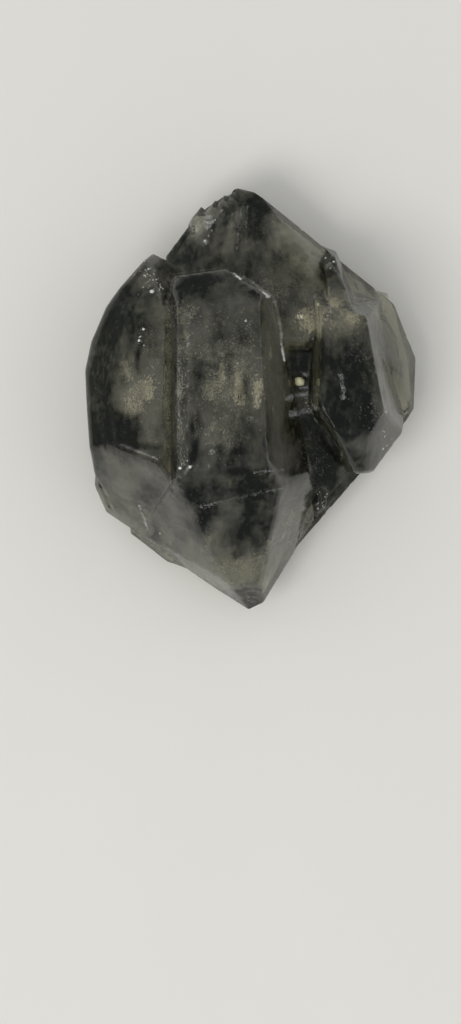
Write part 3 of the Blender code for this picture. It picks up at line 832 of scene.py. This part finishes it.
def crack_flecks(crack, tree, rng):
    """The flecks of one crack, along its line and at or under the surface."""
    ends = [Vector((x, y, 0)) * MM for x, y in crack.points]
    lengths = np.array([(b - a).length for a, b in zip(ends, ends[1:])])
    share = lengths / lengths.sum()
    centres = []
    axes = []
    for _ in range(crack.count):
        part = rng.choice(len(lengths), p=share)
        start, end = ends[part], ends[part + 1]
        along = (end - start).normalized()
        across = Vector((-along.y, along.x, 0))
        place = start.lerp(end, rng.random()) + across * rng.normal() * crack.width * MM / 2
        hit = top_of_stone(tree, place.x, place.y)
        if hit is None:
            continue
        centres.append(hit[0] - UP * crack.depth * MM * rng.uniform(*CRACK_DEPTHS))
        turned = Matrix((along, across, UP)).transposed()
        axes.append(np.array(turned @ Matrix.Rotation(rng.normal(0, CRACK_LEAN), 3, "X")))
    count = len(centres)
    width = crack.fleck * MM * rng.uniform(*CRACK_WIDTHS, count)
    sizes = width[:, None] * CRACK_FLECK / 2
    points, faces = flecks(np.array(centres), sizes, np.array(axes), rng)
    shade = np.repeat(np.clip(crack.shade * rng.uniform(*CRACK_SHADES, count), 0, 1), 6)
    return points, faces, shade


def join_flecks(name, groups):
    """One mesh object from several groups of flecks, with each fleck's shade in an attribute."""
    offset = 0
    all_points = []
    all_faces = []
    shades = []
    for points, faces, shade in groups:
        all_points.append(points)
        all_faces.append(faces + offset)
        shades.append(shade)
        offset += len(points)
    mesh = bpy.data.meshes.new(name)
    mesh.from_pydata(np.concatenate(all_points).tolist(), [], np.concatenate(all_faces).tolist())
    mesh.validate()
    mesh.update()
    add_layer(mesh, "shade", np.concatenate(shades))
    return link(bpy.data.objects.new(name, mesh))


def painted_sparkle_grains(rng):
    """The tiny grains of every strewn patch, which paint sparkles, thickest at its middle."""
    found = []
    for patch in PAINTED_SPARKLE_PATCHES:
        for _ in range(patch.count):
            x = patch.x + patch.half_x * rng.normal() * PAINTED_SPARKLE_SPREAD
            y = patch.y + patch.half_y * rng.normal() * PAINTED_SPARKLE_SPREAD
            found.append(Grain(x, y, rng.uniform(*PAINTED_SPARKLE_WIDTH)))
    return found


def rough_ball(bm, centre, width, rng):
    """Adds a small knobbly grain to a bmesh."""
    made = bmesh.ops.create_icosphere(bm, subdivisions=2, radius=width / 2)["verts"]
    offset = Vector(rng.uniform(0, NOISE_SPAN, 3))
    squeeze = Vector(rng.uniform(*GRAIN_SQUEEZE, 3))
    for vert in made:
        lump = 1 + GRAIN_LUMP * noise.noise(vert.co / width * GRAIN_LUMPS + offset)
        vert.co = vert.co * squeeze * lump + centre


# Materials


def new_material(name):
    """An empty node material, its tree and its Principled shader."""
    material = bpy.data.materials.new(name)
    material.use_nodes = True
    tree = material.node_tree
    return material, tree, tree.nodes["Principled BSDF"]


def add_node(tree, kind, inputs=None, **values):
    """A node with properties by name and inputs by name or number. An input that is a socket is linked."""
    node = tree.nodes.new(kind)
    for name, value in values.items():
        setattr(node, name, value)
    for name, value in (inputs or {}).items():
        if isinstance(value, bpy.types.NodeSocket):
            tree.links.new(value, node.inputs[name])
        else:
            node.inputs[name].default_value = value
    return node


def calculate(tree, operation, *values):
    """The result of a math node on numbers or sockets."""
    return add_node(tree, "ShaderNodeMath", dict(enumerate(values)), operation=operation).outputs[0]


def map_range(tree, value, low, high):
    """A socket's 0 to 1 turned into low to high."""
    limits = {"Value": value, "To Min": low, "To Max": high}
    return add_node(tree, "ShaderNodeMapRange", limits).outputs["Result"]


def mix_colours(tree, factor, first, second):
    """The mix of two colours or colour sockets."""
    node = tree.nodes.new("ShaderNodeMix")
    node.data_type = "RGBA"
    for index, value in zip(MIX_INPUTS, (factor, first, second)):
        socket = node.inputs[index]
        if isinstance(value, bpy.types.NodeSocket):
            tree.links.new(value, socket)
        elif isinstance(value, (int, float)):
            socket.default_value = value
        else:
            socket.default_value = (*value, 1.0)
    return node.outputs[MIX_OUTPUT]


def mottle_group():
    """A node group that every material uses: uneven patches, from 0 to 1."""
    group = bpy.data.node_groups.get("mottle") or bpy.data.node_groups.new("mottle", "ShaderNodeTree")
    if group.nodes:
        return group
    group.interface.new_socket("Scale", in_out="INPUT", socket_type="NodeSocketFloat")
    group.interface.new_socket("Contrast", in_out="INPUT", socket_type="NodeSocketFloat")
    group.interface.new_socket("Patches", in_out="OUTPUT", socket_type="NodeSocketFloat")
    inside = group.nodes.new("NodeGroupInput")
    outside = group.nodes.new("NodeGroupOutput")
    place = group.nodes.new("ShaderNodeTexCoord").outputs["Object"]
    stretch = (1.0, STREAK_STRETCH, 1.0)
    place = add_node(group, "ShaderNodeMapping", {"Vector": place, "Scale": stretch}).outputs[0]
    cloud = add_node(
        group,
        "ShaderNodeTexNoise",
        {"Vector": place, "Scale": inside.outputs["Scale"], "Detail": 5.0, "Roughness": 0.62},
    )
    low = calculate(group, "SUBTRACT", 0.5, inside.outputs["Contrast"])
    high = calculate(group, "ADD", 0.5, inside.outputs["Contrast"])
    limits = {"Value": cloud.outputs["Fac"], "From Min": low, "From Max": high}
    spread = add_node(group, "ShaderNodeMapRange", limits)
    group.links.new(spread.outputs["Result"], outside.inputs["Patches"])
    return group


def patches(tree, scale, contrast):
    """The mottle group placed in a material, with its own scale and contrast."""
    node = tree.nodes.new("ShaderNodeGroup")
    node.node_tree = mottle_group()
    node.inputs["Scale"].default_value = scale
    node.inputs["Contrast"].default_value = contrast
    return node.outputs["Patches"]


def smoky_glass(settings):
    """See-through smoky glass with clear and dark zones, a few dark ones painted shade, dusty worn edges and
    fine growth lines.
    """
    material, tree, shader = new_material("smoky_quartz_glass")
    place = tree.nodes.new("ShaderNodeTexCoord").outputs["Object"]
    smoke = add_node(tree, "ShaderNodeAttribute", attribute_name="smoke").outputs["Fac"]
    for scale, depth in SMOKE_MOTTLE:
        spots = patches(tree, scale, MOTTLE_CONTRAST)
        smoke = calculate(tree, "ADD", smoke, map_range(tree, spots, -depth, depth))
    smoke = add_node(tree, "ShaderNodeClamp", {"Value": smoke}).outputs["Result"]
    # Clear to smoky tint; in a few zones the smoky tint is painted shade
    tint = mix_colours(tree, smoke, tuple(settings.clear), tuple(settings.smoky))
    wear = add_node(tree, "ShaderNodeAttribute", attribute_name="wear").outputs["Fac"]
    dust = patches(tree, *DUST_SPOTS)
    colour = mix_colours(tree, calculate(tree, "MULTIPLY", wear, dust), tint, tuple(settings.film))
    tree.links.new(colour, shader.inputs["Base Color"])
    gloss = map_range(tree, dust, *GLASS_ROUGHNESS)
    rough = calculate(tree, "MULTIPLY_ADD", wear, WORN_ROUGHNESS, gloss)
    tree.links.new(rough, shader.inputs["Roughness"])
    stretched = add_node(tree, "ShaderNodeMapping", {"Vector": place, "Scale": LINE_SCALE}).outputs[0]
    lines = add_node(tree, "ShaderNodeTexNoise", {"Vector": stretched, "Scale": 1.0, "Detail": 3.0})
    grit = add_node(tree, "ShaderNodeTexNoise", {"Vector": place, "Scale": GRIT_SCALE, "Detail": 2.0})
    relief = calculate(tree, "MULTIPLY_ADD", grit.outputs["Fac"], GRIT_SHARE, lines.outputs["Fac"])
    bump = add_node(tree, "ShaderNodeBump", {"Height": relief, "Strength": 0.35, "Distance": RELIEF_DEPTH})
    tree.links.new(bump.outputs["Normal"], shader.inputs["Normal"])
    shader.inputs["Metallic"].default_value = 0.0
    shader.inputs["IOR"].default_value = QUARTZ_IOR
    shader.inputs["Transmission Weight"].default_value = SEE_THROUGH
    volume = add_node(
        tree, "ShaderNodeVolumeAbsorption", {"Color": (*settings.absorbed, 1.0), "Density": settings.density}
    )
    tree.links.new(volume.outputs["Volume"], tree.nodes["Material Output"].inputs["Volume"])
    return material


def fleck_material(name, dull, pale):
    """Dull to pale flecks, by each fleck's shade, a little uneven."""
    material, tree, shader = new_material(name)
    shade = add_node(tree, "ShaderNodeAttribute", attribute_name="shade").outputs["Fac"]
    colour = mix_colours(tree, shade, tuple(dull), tuple(pale))
    spots = patches(tree, *FLECK_SPOTS)
    darker = tuple(FLECK_DARK * c for c in pale)
    share = calculate(tree, "MULTIPLY", spots, FLECK_SPOT_SHARE)
    tree.links.new(mix_colours(tree, share, colour, darker), shader.inputs["Base Color"])
    shader.inputs["Roughness"].default_value = 0.45
    return material


def grain_and_glint_material(name, colour):
    """A pale grain with darker spots, for mineral grains, painted sparkles and the painted glint."""
    material, tree, shader = new_material(name)
    spots = patches(tree, *GRAIN_SPOTS)
    darker = tuple(GRAIN_DARK * c for c in colour)
    tree.links.new(mix_colours(tree, spots, darker, tuple(colour)), shader.inputs["Base Color"])
    tree.links.new(map_range(tree, spots, *GRAIN_ROUGHNESS), shader.inputs["Roughness"])
    return material


def floor_material(settings):
    """A plain pale floor, very slightly uneven."""
    material, tree, shader = new_material("studio_floor")
    spots = patches(tree, *FLOOR_SPOTS)
    darker = tuple(FLOOR_DARK * c for c in settings.floor)
    tree.links.new(mix_colours(tree, spots, darker, tuple(settings.floor)), shader.inputs["Base Color"])
    shader.inputs["Roughness"].default_value = 0.95
    shader.inputs["Specular IOR Level"].default_value = 0.2
    return material


# Studio


def make_floor(settings):
    """The pale floor, a hair under the face that the stone rests on."""
    bm = bmesh.new()
    bmesh.ops.create_grid(bm, x_segments=1, y_segments=1, size=settings.floor_width / 2)
    mesh = bpy.data.meshes.new("studio_floor")
    bm.to_mesh(mesh)
    bm.free()
    floor = link(bpy.data.objects.new("studio_floor", mesh))
    floor.location.z = FLOOR_LEVEL
    floor.data.materials.append(floor_material(settings))


def make_light(settings):
    """One large soft lamp, high at the near left. The faces don't mirror it."""
    lamp = bpy.data.lights.new("soft_lamp", "AREA")
    lamp.shape = "SQUARE"
    lamp.size = settings.lamp_width
    lamp.energy = settings.lamp_power
    lamp.color = LAMP_COLOUR
    holder = link(bpy.data.objects.new("soft_lamp", lamp))
    holder.location = LAMP_DIRECTION * LAMP_DISTANCE
    holder.rotation_euler = LAMP_DIRECTION.to_track_quat("Z", "Y").to_euler()
    holder.visible_glossy = False


def make_sky(settings):
    """Even light on the floor and the flecks. The faces mirror a darker studio, dim all round."""
    world = bpy.data.worlds.new("studio_sky")
    bpy.context.scene.world = world
    world.use_nodes = True
    tree = world.node_tree
    bounced = tree.nodes.new("ShaderNodeLightPath").outputs["Diffuse Depth"]
    strength = map_range(tree, bounced, settings.sky_mirrored, settings.sky)
    background = tree.nodes["Background"]
    colour = mix_colours(tree, bounced, tuple(settings.mirrored_colour), tuple(settings.sky_colour))
    tree.links.new(colour, background.inputs["Color"])
    tree.links.new(strength, background.inputs["Strength"])


def make_camera(settings):
    """The camera straight above, with the stone where the picture has it."""
    camera = bpy.data.cameras.new("camera")
    frame_height = PICTURE_HEIGHT * PIXEL
    camera.sensor_fit = "VERTICAL"
    camera.sensor_height = SENSOR_HEIGHT
    reach = settings.camera_height - PICTURE_MIDDLE.z
    camera.lens = camera.sensor_height * reach / frame_height
    camera.clip_end = CLIP_END
    holder = link(bpy.data.objects.new("camera", camera))
    holder.location = (PICTURE_MIDDLE.x, PICTURE_MIDDLE.y, settings.camera_height)
    bpy.context.scene.camera = holder


# Operators, one for each piece or group of like pieces


class QUARTZ_OT_crystals(bpy.types.Operator):
    """Makes the worn, glassy crystal group over the stone's solid"""

    bl_idname = "quartz.crystals"
    bl_label = "Crystal group"

    def execute(self, context):
        stone = make_crystals(context.scene.quartz_crystals, context.scene.quartz_smoke)
        stone.data.materials.append(smoky_glass(context.scene.quartz_smoke))
        finish_piece(stone)
        return {"FINISHED"}


class QUARTZ_OT_clouds(bpy.types.Operator):
    """Makes the pale clouds of flecks inside the crystals"""

    bl_idname = "quartz.clouds"
    bl_label = "Inner clouds"

    def execute(self, context):
        tree = stone_tree()
        rng = np.random.default_rng(CLOUD_SEED)
        clouds = (*CLOUDS, *wisps(tree, rng))
        groups = [cloud_flecks(c, tree, rng) for c in clouds]
        groups += [crack_flecks(s, tree, rng) for s in STREAKS]
        piece = join_flecks("inner_clouds", groups)
        settings = context.scene.quartz_inclusions
        piece.data.materials.append(fleck_material("pale_flecks", settings.dull, settings.pale))
        finish_piece(piece)
        return {"FINISHED"}


class QUARTZ_OT_cracks_and_highlights(bpy.types.Operator):
    """Makes the fine pale cracks and lines on the surface and just under it, with painted highlight and
    reflection lines among them
    """

    bl_idname = "quartz.cracks"
    bl_label = "Fine cracks"

    def execute(self, context):
        tree = stone_tree()
        rng = np.random.default_rng(CRACK_SEED)
        piece = join_flecks("fine_cracks_and_painted_highlights", [crack_flecks(c, tree, rng) for c in CRACKS_AND_PAINTED_HIGHLIGHTS])
        settings = context.scene.quartz_inclusions
        piece.data.materials.append(fleck_material("crack_and_highlight_white", settings.crack_dull, settings.grain))
        finish_piece(piece)
        return {"FINISHED"}


class QUARTZ_OT_grains_and_sparkles(bpy.types.Operator):
    """Makes the pale grains that sit on the crystal faces, some of them painted sparkles"""

    bl_idname = "quartz.grains"
    bl_label = "Surface grains"

    def execute(self, context):
        tree = stone_tree()
        rng = np.random.default_rng(GRAIN_SEED)
        bm = bmesh.new()
        for grain in (*GRAINS_AND_SPARKLES, *painted_sparkle_grains(rng)):
            hit = top_of_stone(tree, grain.x * MM, grain.y * MM)
            # A strewn patch can reach past the stone's outline, where nothing holds a grain
            if hit:
                place, normal = hit
                rough_ball(bm, place - normal * GRAIN_SINK * grain.width * MM, grain.width * MM, rng)
        piece = smooth_piece("surface_grains_and_sparkles", bm)
        settings = context.scene.quartz_inclusions
        piece.data.materials.append(grain_and_glint_material("grain_and_sparkle_white", settings.grain))
        finish_piece(piece)
        return {"FINISHED"}


class QUARTZ_OT_painted_glint(bpy.types.Operator):
    """Makes the yellowish grain that sits in the small pit, a painted glint"""

    bl_idname = "quartz.pit_grain"
    bl_label = "Pit grain"

    def execute(self, context):
        settings = context.scene.quartz_inclusions
        place = place_on_stone(stone_tree(), PAINTED_GLINT_PLACE[0] * MM, PAINTED_GLINT_PLACE[1] * MM, "grain")
        bm = bmesh.new()
        width = settings.painted_glint_width
        rough_ball(bm, place + UP * PAINTED_GLINT_RISE * width, width, np.random.default_rng(PAINTED_GLINT_SEED))
        piece = smooth_piece("pit_grain", bm)
        piece.data.materials.append(grain_and_glint_material("painted_glint_yellow", settings.pit_grain))
        finish_piece(piece)
        return {"FINISHED"}


class QUARTZ_OT_studio(bpy.types.Operator):
    """Makes the floor, the soft light and the camera"""

    bl_idname = "quartz.studio"
    bl_label = "Studio"

    def execute(self, context):
        settings = context.scene.quartz_studio
        make_floor(settings)
        make_light(settings)
        make_sky(settings)
        make_camera(settings)
        return {"FINISHED"}


OPERATORS = (
    QUARTZ_OT_crystals,
    QUARTZ_OT_clouds,
    QUARTZ_OT_cracks_and_highlights,
    QUARTZ_OT_grains_and_sparkles,
    QUARTZ_OT_painted_glint,
    QUARTZ_OT_studio,
)
SETTINGS = {
    "quartz_crystals": CrystalSettings,
    "quartz_smoke": SmokeSettings,
    "quartz_inclusions": InclusionSettings,
    "quartz_studio": StudioSettings,
}


class QUARTZ_PT_panel(bpy.types.Panel):
    """Lists the pieces and their settings"""

    bl_idname = "QUARTZ_PT_panel"
    bl_label = "Smoky quartz"
    bl_space_type = "VIEW_3D"
    bl_region_type = "UI"
    bl_category = "Smoky quartz"

    def draw(self, context):
        for name, group in SETTINGS.items():
            box = self.layout.box()
            for setting in group.__annotations__:
                box.prop(getattr(context.scene, name), setting)
        for operator in OPERATORS:
            self.layout.operator(operator.bl_idname)


def register():
    """Registers the settings, the operators and the panel."""
    for name, group in SETTINGS.items():
        bpy.utils.register_class(group)
        setattr(bpy.types.Scene, name, PointerProperty(type=group))
    for operator in OPERATORS:
        bpy.utils.register_class(operator)
    bpy.utils.register_class(QUARTZ_PT_panel)


def unregister():
    """Removes the panel, the operators and the settings."""
    bpy.utils.unregister_class(QUARTZ_PT_panel)
    for operator in reversed(OPERATORS):
        bpy.utils.unregister_class(operator)
    for name, group in SETTINGS.items():
        delattr(bpy.types.Scene, name)
        bpy.utils.unregister_class(group)


def main():
    """Makes every piece in order."""
    register()
    bpy.context.scene.view_settings.view_transform = "Standard"
    bpy.ops.quartz.crystals()
    bpy.ops.quartz.clouds()
    bpy.ops.quartz.cracks()
    bpy.ops.quartz.grains()
    bpy.ops.quartz.pit_grain()
    bpy.ops.quartz.studio()


if __name__ == "__main__":
    main()
